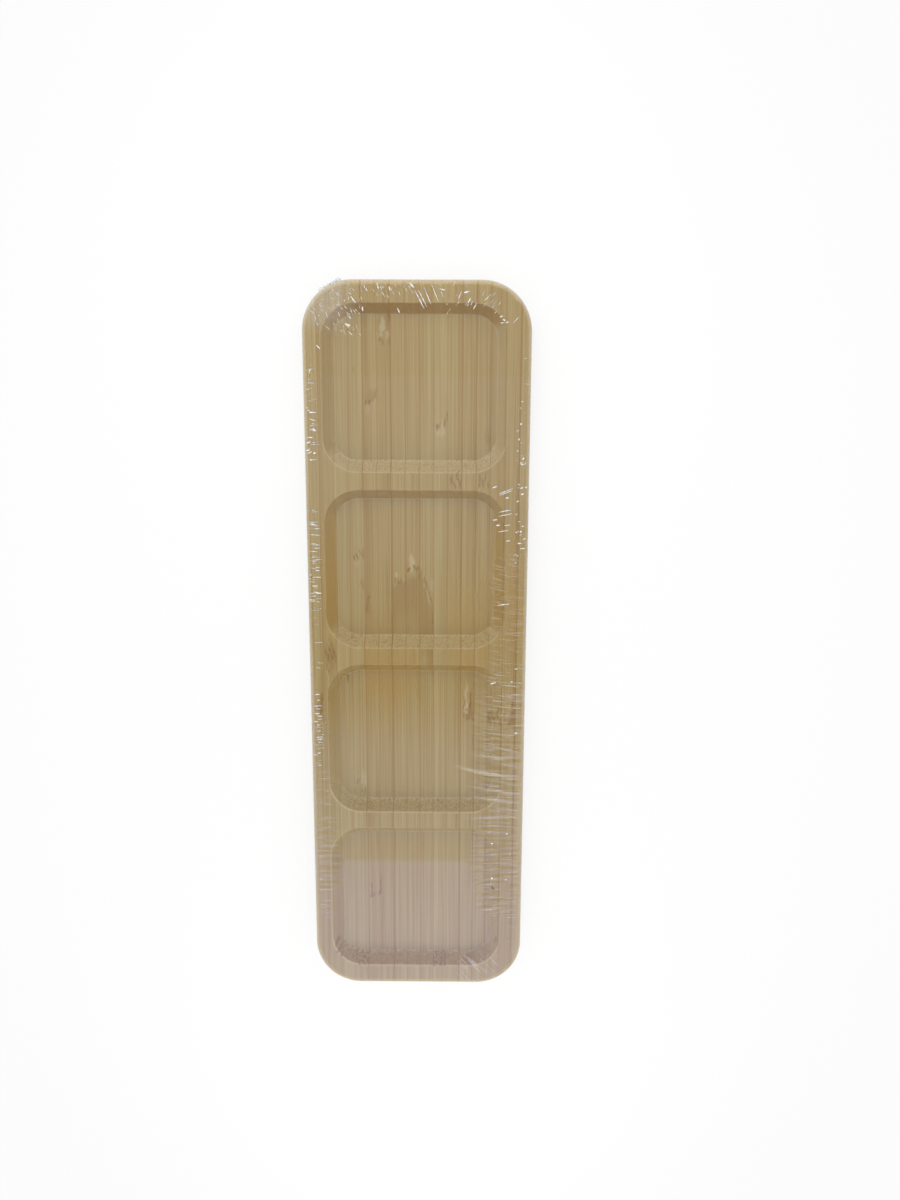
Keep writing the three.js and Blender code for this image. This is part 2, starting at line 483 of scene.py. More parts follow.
def model_ear(sizes):
    """The crumpled ear of film that stands out at the far left corner."""
    along = EAR_END - EAR_START
    middle = (EAR_START + EAR_END) / 2
    bpy.ops.object.select_all(action="DESELECT")
    bpy.ops.mesh.primitive_grid_add(
        x_subdivisions=22, y_subdivisions=5, size=1,
        location=(middle.x, middle.y, BOARD_HIGH.z - sizes.edge_round),
        rotation=(0, 0, math.atan2(along.y, along.x)),
    )
    ear = bpy.context.object
    ear.scale = (along.length, EAR_WIDTH, 1)
    ear.name = ear.data.name = "film_ear"
    bpy.ops.object.transform_apply(location=True, rotation=True, scale=True)
    bpy.ops.object.mode_set(mode="EDIT")
    bpy.ops.mesh.select_all(action="SELECT")
    bpy.ops.transform.vertex_random(offset=EAR_CRUMPLE, uniform=1.0, normal=0.0, seed=EAR_SEED)
    object_mode()
    apply_modifier(ear, "SOLIDIFY", thickness=sizes.film_thickness, offset=1)
    return ear


# Materials


class Value:
    """One output of a node. Arithmetic on it adds Math nodes to its surface."""

    def __init__(self, surface, socket):
        self.surface = surface
        self.socket = socket

    def math(self, operation, *inputs):
        return self.surface.node("ShaderNodeMath", dict(enumerate(inputs)), operation=operation)

    def __add__(self, other):
        return self.math("ADD", self, other)

    __radd__ = __add__

    def __sub__(self, other):
        return self.math("SUBTRACT", self, other)

    def __rsub__(self, other):
        return self.math("SUBTRACT", other, self)

    def __mul__(self, other):
        return self.math("MULTIPLY", self, other)

    __rmul__ = __mul__

    def __truediv__(self, other):
        return self.math("DIVIDE", self, other)

    def __abs__(self):
        return self.math("ABSOLUTE", self)

    def most(self, other):
        return self.math("MAXIMUM", self, other)

    def rise(self, start, end):
        """0 up to start, 1 from end on, and a smooth step between them. It falls if end is less."""
        low, high = (0, 1) if start < end else (1, 0)
        return self.surface.node(
            "ShaderNodeMapRange",
            {
                "Value": self, "From Min": min(start, end), "From Max": max(start, end),
                "To Min": low, "To Max": high,
            },
            interpolation_type="SMOOTHSTEP",
        )


class Surface:
    """A material under construction."""

    def __init__(self, name):
        self.material = bpy.data.materials.new(name)
        self.material.use_nodes = True
        self.tree = self.material.node_tree
        self.tree.nodes.clear()

    def node(self, kind, inputs=None, output=0, **settings):
        """Add a node of this kind, set it up, fill its inputs with numbers or links and return one output."""
        made = self.tree.nodes.new(kind)
        for name, value in settings.items():
            setattr(made, name, value)
        for name, value in (inputs or {}).items():
            if isinstance(value, Value):
                self.tree.links.new(value.socket, made.inputs[name])
            else:
                made.inputs[name].default_value = value
        return Value(self, made.outputs[output]) if made.outputs else made

    def place(self):
        """Object coordinates, in millimetres, as three values."""
        where = self.node("ShaderNodeTexCoord", output="Object")
        where = self.node("ShaderNodeVectorMath", {0: where, 1: (1 / MM,) * 3}, operation="MULTIPLY")
        return self.split(where)

    def split(self, vector):
        parts = self.node("ShaderNodeSeparateXYZ", {0: vector})
        return tuple(Value(self, socket) for socket in parts.socket.node.outputs)

    def join(self, x, y, z):
        return self.node("ShaderNodeCombineXYZ", {0: x, 1: y, 2: z})

    def noise(self, x, y, z, detail=0.0):
        return self.node("ShaderNodeTexNoise", {"Vector": self.join(x, y, z), "Scale": 1.0, "Detail": detail})

    def mix(self, share, first, second):
        """A colour between two others."""
        first, second = ((*c, 1.0) if isinstance(c, tuple) else c for c in (first, second))
        return self.node(
            "ShaderNodeMix", {0: share, 6: first, 7: second}, output=2, data_type="RGBA", clamp_factor=True
        )

    def finish(self, shader):
        self.node("ShaderNodeOutputMaterial", {"Surface": shader})
        return self.material


@dataclass
class Stroke:
    """A dark stroke of bent fibres: its middle, its length, its lean from +Y to the right in degrees, its
    width and its share."""

    x: float
    y: float
    length: float
    lean: float
    width: float = 0.4
    share: float = 0.6


@dataclass
class Patch:
    """A patch beside a knuckle: its middle, length and width, its share, less than 0 where it is darker than
    the strip, and whether it is golden instead of brown."""

    x: float
    y: float
    length: float
    width: float
    share: float
    golden: bool = False

    def colour(self, colours):
        if self.golden:
            return tuple(colours.golden)
        return tuple(colours.fresh_and_lit if self.share > 0 else colours.fibre_and_shade)


@dataclass
class Strip:
    """What tells one strip from the next: tone, slope of the tone across it, dense edges, and the strength of
    the glue line on its right and of the dots in its end grain."""

    tone: float
    slope: float
    right_edge: float
    left_edge: float
    line: float
    bundles: float = 0.0


STRIPS = (
    Strip(0.4, 0.0, 0.6, 0.0, 0.5),
    Strip(-0.5, 0.0, 0.5, 0.2, 0.5),
    Strip(1.0, -0.1, 0.3, 0.1, 0.4),
    Strip(0.8, 0.0, 0.3, 0.2, 0.9, 0.9),
    Strip(-0.6, 0.25, 0.3, 0.7, 0.6),
    Strip(-0.4, -0.1, 1.0, 0.5, 1.1),
    Strip(0.3, 0.1, 0.4, 0.6, 0.6),
    Strip(0.1, 0.0, 0.6, 0.4, 0.8),
    Strip(0.1, 0.0, 0.6, 0.4, 0.5),
    Strip(1.0, -0.2, 0.4, 0.1, 0.4, 0.9),
    Strip(0.1, -0.3, 0.9, 0.3, 1.2),
    Strip(0.1, -0.2, 0.9, 0.3, 1.0),
    Strip(0.3, -0.2, 0.7, 0.3, 0.6),
    Strip(-0.6, 0.0, 0.5, 0.5, 0.8),
    Strip(-0.3, 0.0, 1.5, 0.2, 1.3),
    Strip(0.1, 0.0, 0.4, 1.2, 0.0),
)

# Round the knuckles and, in the last rows, scorched spots on the nearest well's walls
STROKES = (
    Stroke(-49.3, -25, 12, 0, 0.8), Stroke(-50.3, -29, 6, -10, 0.6), Stroke(-48.9, -33, 6, 0),
    Stroke(-51.2, -26, 5, 0),
    Stroke(-46.4, 1, 9, -15, 0.6, 0.5), Stroke(-45.2, -0.5, 7, -18, 0.5), Stroke(-44, 1.5, 9, -18, 0.5),
    Stroke(-42.9, 3.5, 8, -12, 0.5), Stroke(-42, 0, 9, -5, 0.5, 0.5), Stroke(-45.8, -6, 6, -10, 0.4, 0.4),
    Stroke(-38.8, -11, 3, 60), Stroke(-37.2, -12, 3, -40), Stroke(-36.2, -14, 5, 0),
    Stroke(-39.5, -13, 3, 0),
    Stroke(-31.2, 143, 4, 0, 0.4, 0.3), Stroke(-32, 49.5, 4, -15), Stroke(-30.8, 50.5, 4.5, -25),
    Stroke(-29.2, 52.5, 4, -20, 0.4, 0.4), Stroke(-27.6, 52, 7, 0, 0.5, 0.5),
    Stroke(-32.3, -71, 4, 5), Stroke(-30.8, -70, 4, 15), Stroke(-29.8, -74.5, 5, 5),
    Stroke(-33.2, -76, 4, 0, 0.4, 0.4),
    Stroke(-28.2, -76, 6, 0, 0.4, 0.4),
    Stroke(-25.3, 127.3, 2.6, 0, 0.45, 0.8), Stroke(-23.6, 127.6, 3, 10, 0.45, 0.8),
    Stroke(-21.8, 129, 4, 15, 0.4, 0.5),
    Stroke(-20.3, 132, 6, 0, 0.5), Stroke(-25.2, 28, 5, 10, 0.7, 0.4), Stroke(-26, 24, 6, 0, 0.7, 0.45),
    Stroke(-25.3, -133, 9, -5, 0.5, 0.8), Stroke(-24.2, -136.2, 3, 0, 0.5, 0.8),
    Stroke(-25.8, -136.8, 2.5, 0, 0.5, 0.8),
    Stroke(-21.2, -135.5, 4, 12, 0.5, 0.8), Stroke(-20.3, -130, 12, 0, 0.6, 0.9),
    Stroke(-13.6, 168, 7, 0, 0.7, 0.5), Stroke(-18.1, 157.5, 2.5, -10), Stroke(-16.8, 156.2, 3.5, -8),
    Stroke(-13.3, 156, 4, 0), Stroke(-15.3, 161.8, 2.5, 35, 0.3, 0.5),
    Stroke(-11.4, 38, 3, 0), Stroke(-9.8, 37.2, 3.2, 0, 0.4, 0.7), Stroke(-8.4, 37.4, 3.2, 0, 0.4, 0.7),
    Stroke(-6.2, 38.5, 7, 0, 0.5, 0.7),
    Stroke(-4.7, 43.6, 3.5, 25, 0.45, 0.7), Stroke(-1.5, 44.6, 4, -28, 0.45, 0.7), Stroke(-0.4, 43.5, 5, 0),
    Stroke(0.7, 42.5, 8, -5, 0.5, 0.7),
    Stroke(3.6, 38, 5, -8, 0.5, 0.5), Stroke(4.6, 35.5, 7, -14, 0.5, 0.5),
    Stroke(5.8, 31.5, 9, -14, 0.5, 0.5),
    Stroke(6.9, 26.5, 9, -12, 0.55, 0.5), Stroke(7.6, 19.5, 10, -4, 0.6, 0.5),
    Stroke(9.7, 115.3, 3, 8, 0.5, 0.8), Stroke(10.9, 116, 3.5, 12), Stroke(13.4, 117.5, 5, 5),
    Stroke(14.7, 120.5, 5, 0, 0.5),
    Stroke(16.8, 90.5, 6, 12, 0.5, 0.7), Stroke(18.4, 88, 4, -25, 0.5, 0.7),
    Stroke(19.8, 91.5, 5, -18, 0.5, 0.7),
    Stroke(21.2, 88.5, 5, 10, 0.5, 0.7), Stroke(20.3, 93.5, 3, 0),
    Stroke(27.2, -27, 13, 2, 0.6, 0.8), Stroke(23.8, -28, 9, 8, 0.4, 0.5), Stroke(23.9, -33.5, 4, 0),
    Stroke(28.6, -49, 9, 0),
    Stroke(25.3, -34.5, 4, 5, 0.45, 0.8), Stroke(26.6, -34, 4.5, -5, 0.45, 0.8),
    Stroke(28.2, -34.5, 6, 0, 0.6),
    Stroke(30.6, 90, 8, 4, 0.5, 0.8), Stroke(32.3, 88.5, 5, -12), Stroke(33.6, 92, 7, 12, 0.4, 0.7),
    Stroke(34.8, 88, 4, 0),
    Stroke(36.9, -34.5, 6, 5, 0.5, 0.8), Stroke(38.4, -33.5, 5, -10), Stroke(39.6, -35.5, 4, 0),
    Stroke(41.4, -31, 8, 5, 0.5),
    Stroke(42.3, -35.5, 4, 0), Stroke(48.8, -29, 16, 0, 0.8), Stroke(47.6, -34.5, 6, 5, 0.45, 0.7),
    Stroke(46.8, -35.5, 4, 0),
    Stroke(44.6, -32, 6, 0, 0.4, 0.4),
    Stroke(-44, -161.5, 5, 20, 0.7), Stroke(-42.9, -165.5, 5, 35, 0.7),
    Stroke(-41.6, -168.3, 3, 45, 0.7, 0.5),
    Stroke(26.5, -171.5, 4, 40, 0.7, 0.5), Stroke(28.6, -171.5, 4, 40, 0.8),
    Stroke(30.2, -172, 3, 40, 0.5, 0.4),
    Stroke(41.8, -160, 6, 20, 0.5, 0.4), Stroke(40, -131, 1.6, 0, 0.9, 2.0),
)
PATCHES = (
    Patch(-43.5, 42, 84, 11, -0.9, True), Patch(40, 42, 90, 9, -0.8, True),
    Patch(-49.5, -26, 16, 2.5, -0.4), Patch(-44.5, 0, 22, 8, -0.45),
    Patch(-23.5, -6, 60, 11, -0.6, True), Patch(-16.5, -8, 70, 11, -0.6, True),
    Patch(-9.5, -8, 60, 11, -0.5, True),
    Patch(-2.5, -5, 50, 11, -0.4, True), Patch(18.5, 14, 60, 11, -0.5, True),
    Patch(25.5, 10, 60, 11, -0.6, True),
    Patch(32.5, 14, 70, 11, -0.5, True),
    Patch(-30.8, 46.5, 6, 2.5, 0.22), Patch(-28, 36, 7, 3, -0.4), Patch(-29.3, -70, 15, 4, 0.34),
    Patch(-23, 130.5, 8, 6, -0.35), Patch(-24, 123.5, 7, 3, 0.19), Patch(-25.5, 26, 16, 3, -0.3),
    Patch(-16.5, 164, 10, 3.6, 0.49), Patch(-14.4, 159.5, 5, 3, 0.45), Patch(-17.6, 159.5, 3.5, 2.4, 0.3),
    Patch(-13.8, 165, 20, 2, -0.4),
    Patch(-10.8, 41, 3.5, 2.2, 0.45), Patch(-3.2, 47, 11, 2.8, 0.6), Patch(6.9, 36, 9, 2.2, 0.26),
    Patch(12.2, 114.5, 10, 2.6, 0.41), Patch(10.4, 112.3, 5, 2.2, 0.26),
    Patch(25.3, -24.5, 20, 2.6, 0.6), Patch(24.6, -31.5, 6, 2.6, 0.38), Patch(27.8, -30, 12, 2, -0.5),
    Patch(35, 111, 10, 6, -0.25), Patch(38, -34, 10, 5, -0.4), Patch(48.6, -30, 18, 3, -0.5),
    Patch(47, 36, 84, 7, -0.6, True), Patch(52, 30, 70, 4, -0.4, True), Patch(47, -34, 12, 5, -0.3),
)


@dataclass
class Figure:
    """Brown figure below a strip's knuckle: its top at the strip's left edge, the top's slope, and its reach
    downwards."""

    top: float
    slope: float
    reach: float


FIGURES = {7: Figure(37, 0.4, 34), 8: Figure(42, 0.0, 38), 9: Figure(42, -3.2, 44)}


def bamboo(number, low, high, colours):
    """One strip's bamboo: fibres along Y that end as dots, dense edges, knuckles and glue lines."""
    strip = STRIPS[number]
    s = Surface(f"bamboo_{number + 1:02d}")
    x, y, z = s.place()
    left, width = low.x / MM, (high.x - low.x) / MM
    u = x - left
    seed = 17.3 * number
    sway = (s.noise(x / 40, y / 160 + seed, z / 40) - 0.5) * 1.4
    strokes = [stroke for stroke in STROKES if low.x / MM <= stroke.x < high.x / MM]
    patches = [patch for patch in PATCHES if low.x / MM <= patch.x < high.x / MM]
    for patch in patches:
        sway = sway + curl(s, patch, x, y, z)
    xs = x + sway

    def grain(across, along, detail=0.0):
        return s.noise(xs / across + seed, y / along, z / across, detail) - 0.5

    broad, medium, fine = grain(2.6, 320), grain(0.85, 120, 1.0), grain(0.42, 55)
    tone = 0.57 + 0.15 * strip.tone + (u / width - 0.5) * strip.slope
    tone = tone + broad * 0.5 + medium * 0.8 + fine * 0.7
    base = s.mix(tone, tuple(colours.dark), tuple(colours.pale))

    dense = u.rise(width * 0.35, width) * strip.right_edge + u.rise(width * 0.4, 0) * strip.left_edge
    threads = (grain(0.55, 70) + 0.5).rise(0.54, 0.66) * (0.3 + dense * 0.7)
    base = s.mix(threads * 0.6, base, tuple(colours.fibre_and_shade))
    edge = u.rise(width - 0.9, width - 0.15) * strip.right_edge + u.rise(0.7, 0.1) * strip.left_edge
    edge = edge * (s.noise(seed, y / 45, 0.0) * 1.6 - 0.2)
    base = s.mix(edge * 0.6, base, tuple(colours.fibre_and_shade))

    if number + 1 in FIGURES:
        figure = brown_figure(s, FIGURES[number + 1], xs - left, xs, y, z) * (0.55 + fine)
        base = s.mix(figure, base, tuple(colours.fibre_and_shade))
    for patch in patches:
        base = s.mix(patch_mark(s, patch, xs, y, z), base, patch.colour(colours))
    # The cutter's marks on the wells' walls, with painted light and shade on them
    base, dots = wall_marks_and_light(s, strip, colours, base, xs, y, z, seed)
    for stroke in strokes:
        base = s.mix(stroke_mark(s, stroke, x, y, z), base, tuple(colours.knuckle))

    line = u.rise(width - 0.4, width - 0.06) * strip.line
    if number:
        line = line + u.rise(0.4, 0.06) * STRIPS[number - 1].line
    line = line * (s.noise(seed, y / 60, 3.0) + 0.3)
    base = s.mix(line * 0.9, base, tuple(colours.glue))

    height = medium * 0.6 + fine * 0.6 - line * 0.3 - dots * 0.3
    bump = s.node("ShaderNodeBump", {"Strength": 0.25, "Distance": 0.0002, "Height": height})
    shader = s.node(
        "ShaderNodeBsdfPrincipled",
        {"Base Color": base, "Roughness": 0.45 + fine * 0.25, "Normal": bump},
    )
    return s.finish(shader)


def wall_marks_and_light(s, strip, colours, base, xs, y, z, seed):
    """What the cutter leaves on the wells' walls, with light and shade painted on them: side walls and walls
    facing +Y painted paler, partly torn pale grain; painted shade on walls facing -Y and on the nearest
    well's walls facing +Y; a painted highlight on the lips; and the dots of cut fibres."""
    aside, ahead, up = s.split(s.node("ShaderNodeTexCoord", output="Normal"))
    end = abs(ahead).rise(0.3, 0.6)
    # Painted light: the wells' side walls painted paler, those facing -X most, and less in the second well
    sides = aside.rise(-0.3, -0.6) * 0.5 + aside.rise(0.3, 0.6) * 0.25
    past_second_well = abs(y - 44).rise(30, 45)
    base = s.mix(sides * (past_second_well * 0.7 + 0.3), base, tuple(colours.fresh_and_lit))
    far_wall, near_wall = ahead.rise(-0.25, -0.6), ahead.rise(0.25, 0.6)
    # Painted light, partly torn grain: walls facing +Y paler in the far wells, fading towards the nearest,
    # and the far walls of the two near wells a little paler
    torn_and_lit = near_wall * y.rise(-135, 10) * 0.75 + far_wall * y.rise(30, -60) * 0.3
    base = s.mix(torn_and_lit, base, tuple(colours.fresh_and_lit))
    # Painted shade: walls facing -Y in the two far wells turned brown, most in the farthest
    base = s.mix(far_wall * y.rise(30, 150) * 0.65, base, tuple(colours.fibre_and_shade))
    # Painted shade: walls facing +Y in the nearest well turned darker and more golden
    base = s.mix(near_wall * y.rise(-120, -165) * 0.45, base, tuple(colours.golden))
    hatch = s.noise(xs / 0.6 + z * 0.5, y / 2, z / 0.75, 1.0)
    base = s.mix(hatch.rise(0.5, 0.66) * end * 0.5, base, tuple(colours.fibre_and_shade))
    base = s.mix(hatch.rise(0.46, 0.34) * near_wall * 0.5, base, tuple(colours.fresh_and_lit))
    # A paler band low on walls facing +Y: partly torn fibres, partly painted light
    fringe = ahead.rise(0.0, 0.15) * z.rise(9.6, 8.0) * hatch.rise(0.6, 0.4)
    base = s.mix(fringe * 0.5, base, tuple(colours.fresh_and_lit))
    # Painted highlight along the wells' sanded lips: strongest on lips facing +Y, then +X, and towards the
    # near end
    inner = abs(xs + 1.2).rise(49.5, 48.5) * abs(y).rise(178, 176.5)
    lip = z.rise(14.0, 14.7) * up.rise(0.99, 0.9) * inner * (0.4 + 0.6 * y.rise(20, -140))
    lip = lip * (0.1 + 0.3 * aside.rise(0.0, 0.3) + 0.6 * ahead.rise(0.0, 0.3))
    base = s.mix(lip, base, tuple(colours.lip))
    cells = s.node(
        "ShaderNodeTexVoronoi",
        {"Vector": s.join(xs / 1.1 + seed, y / 90, z / 1.1), "Scale": 1.0, "Randomness": 0.8},
        output="Distance",
    )
    dots = cells.rise(0.5, 0.28) * end * y.rise(-95, -110)
    return s.mix(dots * 0.9 * strip.bundles, base, tuple(colours.scorch)), dots


def stroke_mark(s, stroke, x, y, z):
    """Where one dark stroke shows, wavering a little."""
    lean = math.radians(stroke.lean)
    waver = (s.noise(x / 1.5, y / 2.5, z / 1.5) - 0.5) * 1.2
    right, above = x + waver - stroke.x, y - stroke.y
    along = abs(right * math.sin(lean) + above * math.cos(lean))
    across = abs(right * math.cos(lean) - above * math.sin(lean))
    shape = across.rise(stroke.width * 1.5, stroke.width * 0.2)
    shape = shape * along.rise(stroke.length * 0.6, stroke.length * 0.2)
    broken = s.noise(x / 0.8, y / 1.8, z / 0.8 + 4) * 2.0
    return shape * broken * stroke.share


def patch_mark(s, patch, xs, y, z):
    """Where one patch shows: pointed at both ends, with a ragged rim."""
    along = (y - patch.y) * (2 / patch.length)
    across = abs(xs - patch.x) * (2 / patch.width)
    ragged = (s.noise(xs / 0.7, y / 7, z / 0.7) - 0.5) * 0.9
    return (along * along + across + ragged).rise(1.3, 0.2) * abs(patch.share)


def curl(s, patch, x, y, z):
    """How far the fibres beside a patch are pushed aside."""
    near = abs(y - patch.y).rise(patch.length * 0.8, 0)
    return (s.noise(x / 4, y / 3.2, z / 4) - 0.5) * near * 2.0


def brown_figure(s, figure, u, xs, y, z):
    """Where the brown figure below a knuckle shows: ragged at its top and fading downwards."""
    ragged = (s.noise(xs / 1.1, y / 30, z / 1.1) - 0.5) * 12
    below = figure.top + u * figure.slope - y + ragged
    return below.rise(-1, 3) * below.rise(figure.reach, figure.reach * 0.4)


@dataclass
class Arc:
    """A soft painted highlight along an arc in the film: its left end, the x of its right end, its slope at
    the left, its bend, its width and its share."""

    x: float
    y: float
    end: float
    slope: float
    bend: float
    width: float = 1.0
    share: float = 0.3

    def share_at(self, s, x, y):
        right = x - self.x
        off = y - self.y - right * self.slope - right * right * self.bend
        off = off + (s.noise(x / 5, y / 3, 9.0) - 0.5) * 0.8
        span = self.end - self.x
        ends = right.rise(0, span * 0.55) * right.rise(span, span * 0.7)
        patchy = s.noise(x / 4, y / 0.7, 1.0) * 1.2 + 0.3
        return abs(off).rise(self.width, 0) * ends * patchy * self.share


ARCS = (
    Arc(13, -56.4, 56, -0.40, 0.0050, 1.5, 0.32), Arc(25, -51.1, 56, -0.33, 0.0085, 1.4, 0.26),
    Arc(33, -44.9, 56, -0.45, 0.0060, 1.2, 0.20), Arc(40, -41.5, 56, -0.15, 0.0160, 1.0, 0.20),
    Arc(36, -55.6, 56, -0.25, 0.0020, 1.0, 0.16), Arc(22, -68.4, 57, -0.30, 0.0040, 1.3, 0.22),
    Arc(30, -64.4, 57, -0.28, 0.0030, 1.0, 0.16), Arc(24, -74.8, 57, -0.20, 0.0020, 1.3, 0.24),
    Arc(36, -80.8, 57, -0.20, 0.0020, 1.1, 0.20), Arc(40, -20.4, 57, -0.15, 0.0, 1.0, 0.12),
    Arc(40, -30.6, 57, -0.10, 0.0, 1.0, 0.12), Arc(20, -88.2, 57, 0.02, 0.0010, 1.3, 0.20),
)


def clear_film():
    """Clear shrink film: a faint mirror over what it covers, rippled along the sides and hazy where it
    gathers, with painted glints on its ripples and arcs and a painted sheen on its rounded edges."""
    s = Surface("shrink_film")
    x, y, _ = s.place()
    # Ripples fan out towards the right edge
    sideways = (x - 20).most(0)
    flow = y + (sideways * 0.25 - sideways * sideways * 0.0036) * (y + 88) / 45
    right_side = x.rise(24, 38) * y.rise(4, -20) * y.rise(-152, -138)
    right_side = right_side + x.rise(43, 49) * y.rise(-138, -152) * y.rise(-172, -160) * 0.8
    left_side = x.rise(-38, -47) * y.rise(-55, -70) * y.rise(-155, -140)
    ripples = s.noise(x / 11, flow / 0.8, 0.0, 1.0)
    swell = s.noise(x / 14, flow / 2.2, 5.0)
    _, _, up = s.split(s.node("ShaderNodeTexCoord", output="Normal"))
    waves = (swell + ripples * 0.15) * (right_side + left_side * 0.6)
    bump = s.node("ShaderNodeBump", {"Strength": 1.0, "Distance": 2.0e-4, "Height": waves})
    turned_away = s.node("ShaderNodeNewGeometry", output="Backfacing")
    # Light bounces between the film's two faces
    one_face = s.node("ShaderNodeFresnel", {"IOR": 1.5})
    mirror = 2 * one_face / (1 + one_face) * (1 - turned_away)
    clear = s.node("ShaderNodeBsdfTransparent")
    gloss = s.node("ShaderNodeBsdfGlossy", {"Roughness": 0.03, "Normal": bump})
    taut = s.node("ShaderNodeMixShader", {0: mirror, 1: clear, 2: gloss})

    # Painted glints: white on the ripples along the sides and middle right, on slanted wrinkles and on arcs
    hair = ripples.rise(0.54, 0.72)
    middle_right = x.rise(33, 42) * y.rise(58, 48) * y.rise(-40, -20)
    corner = x.rise(-26, -42) * y.rise(158, 172)
    slanted = s.noise((x * 0.743 + y * 0.669) / 1.1, (x * 0.669 - y * 0.743) / 14, 2.0).rise(0.5, 0.7)
    white = (
        hair * (right_side + left_side) * 0.2
        + hair * middle_right * 0.18
        + slanted * x.rise(17, 28) * x.rise(46, 38) * y.rise(-164, -172) * 0.22
        + (ripples * 0.2 + 0.04) * corner
        # Painted sheen on the film's rounded edges and sides, stronger towards the near end
        + abs(up).rise(0.98, 0.5) * (0.12 + y.rise(-100, -125) * 0.1)
    )
    for arc in ARCS:
        white = white + arc.share_at(s, x, y)
    # White for the painted glints and sheen, and for the haze at the far left corner
    glint_and_haze_white = s.node("ShaderNodeBsdfDiffuse", {"Color": (0.93, 0.91, 0.88, 1)})
    return s.finish(s.node("ShaderNodeMixShader", {0: white * (1 - turned_away), 1: taut, 2: glint_and_haze_white}))


def folded_film(name, least, most, tint):
    """Film where it lies double: white in a share between least and most, painted glints where it catches the
    light.
    """
    s = Surface(name)
    x, y, _ = s.place()
    share = s.noise(x / 1.6, y / 1.6, 0.0).rise(0.35, 0.65) * (most - least) + least
    clear = s.node("ShaderNodeBsdfTransparent")
    white = s.node("ShaderNodeBsdfPrincipled", {"Base Color": (*tint, 1), "Roughness": 0.3})
    return s.finish(s.node("ShaderNodeMixShader", {0: share, 1: clear, 2: white}))


def stage_floor(colours):
    """White floor that takes the platter's shadow, and shows pale to the camera."""
    s = Surface("stage_floor")
    path = s.node("ShaderNodeLightPath").socket.node.outputs
    seen = Value(s, path["Is Camera Ray"]).most(Value(s, path["Is Glossy Ray"])).most(
        Value(s, path["Is Transmission Ray"])
    )
    matt = s.node("ShaderNodeBsdfDiffuse", {"Color": (*colours.floor, 1)})
    white = s.node("ShaderNodeEmission", {"Color": (1, 1, 1, 1), "Strength": 1.0})
    return s.finish(s.node("ShaderNodeMixShader", {0: seen * 0.75, 1: matt, 2: white}))


def ceiling_glow(camera_place):
    """Cool light of the ceiling, brightest past both ends of the platter, as the film mirrors it."""
    s = Surface("ceiling_glow")
    _, y, _ = s.place()
    eye = camera_place.y / MM
    # Where on the film the camera sees each place of the ceiling
    reach = (CEILING_HEIGHT - BOARD_HIGH.z) / (camera_place.z - BOARD_HIGH.z)
    shown = (y + eye * reach) / (1 + reach)
    far_end = shown.rise(-25, 105) * 0.85 - shown.rise(139.4, 140.6) * 0.2
    near_end = shown.rise(-14, -56) * 0.76 + shown.rise(-70, -100) * 0.2 + shown.rise(-113, -146) * 0.15
    lamp = shown.rise(-111.2, -113.4)
    level = far_end + near_end + lamp * 1.15 - shown.rise(-98, -102) * 0.1 + 0.05
    tint = s.mix(lamp * shown.rise(-420, -260), (0.47, 0.68, 1.0), (0.38, 0.50, 1.0))
    tint = s.mix(shown.rise(-260, -420), tint, (0.70, 0.80, 1.0))
    glow = s.mix(level / CEILING_STRENGTH, (0.0, 0.0, 0.0), tint)
    return s.finish(s.node("ShaderNodeEmission", {"Color": glow, "Strength": CEILING_STRENGTH}))


# Operators


class PLATTER_OT_strips(bpy.types.Operator):
    """Model the routed board and cut it into its bamboo strips"""

    bl_idname = "platter.strips"
    bl_label = "Bamboo Strips"

    def execute(self, context):
        scene = context.scene
        board = model_board(scene.platter_sizes)
        for number, node in enumerate(STRIP_NODES):
            low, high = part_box(node)
            strip = cut_strip(board, node)
            strip.data.materials.clear()
            strip.data.materials.append(bamboo(number, low, high, scene.platter_colours))
            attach(strip, "root")
            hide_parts(node)
        bpy.data.objects.remove(board)
        return {"FINISHED"}


class PLATTER_OT_film(bpy.types.Operator):
    """Stretch the clear shrink film over the board"""

    bl_idname = "platter.film"
    bl_label = "Shrink Film"

    def execute(self, context):
        sizes = context.scene.platter_sizes
        film = model_film(sizes)
        film.data.materials.clear()
        film.data.materials.append(clear_film())
        chance = random.Random(FOLD_SEED)
        bright = [fold for patch in RIM_FOLDS for fold in patch.folds(chance)]
        fine = [fold for patch in FINE_FOLDS for fold in patch.folds(chance)]
        creases = model_folds("film_creases", (*PLAIN_FOLDS, *bright), sizes, film)
        creases.data.materials.append(folded_film("film_creases", 0.4, 0.9, FOLD_GLINT_WHITE))
        wrinkles = model_folds("film_wrinkles", fine, sizes, film)
        wrinkles.data.materials.append(folded_film("film_wrinkles", 0.08, 0.45, FOLD_GLINT_WHITE))
        ear = model_ear(sizes)
        ear.data.materials.append(folded_film("film_ear", 0.3, 0.85, EAR_WHITE))
        for piece in (film, creases, wrinkles, ear):
            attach(piece, "root")
        return {"FINISHED"}


class PLATTER_OT_stage(bpy.types.Operator):
    """Lay the floor, hang the lights and set the camera"""

    bl_idname = "platter.stage"
    bl_label = "Stage"

    def execute(self, context):
        scene = context.scene
        settings = scene.platter_stage
        scene.view_settings.view_transform = "Standard"
        lay_floor(scene.platter_colours)
        hang_ceiling(settings)
        light_stage(scene, settings)
        set_camera(scene, settings)
        return {"FINISHED"}


def lay_floor(colours):
    bpy.ops.object.select_all(action="DESELECT")
    bpy.ops.mesh.primitive_plane_add(size=FLOOR_SIZE, location=(0, 0, BOARD_LOW.z))
    floor = bpy.context.object
    floor.name = "stage_floor"
    floor.data.materials.append(stage_floor(colours))


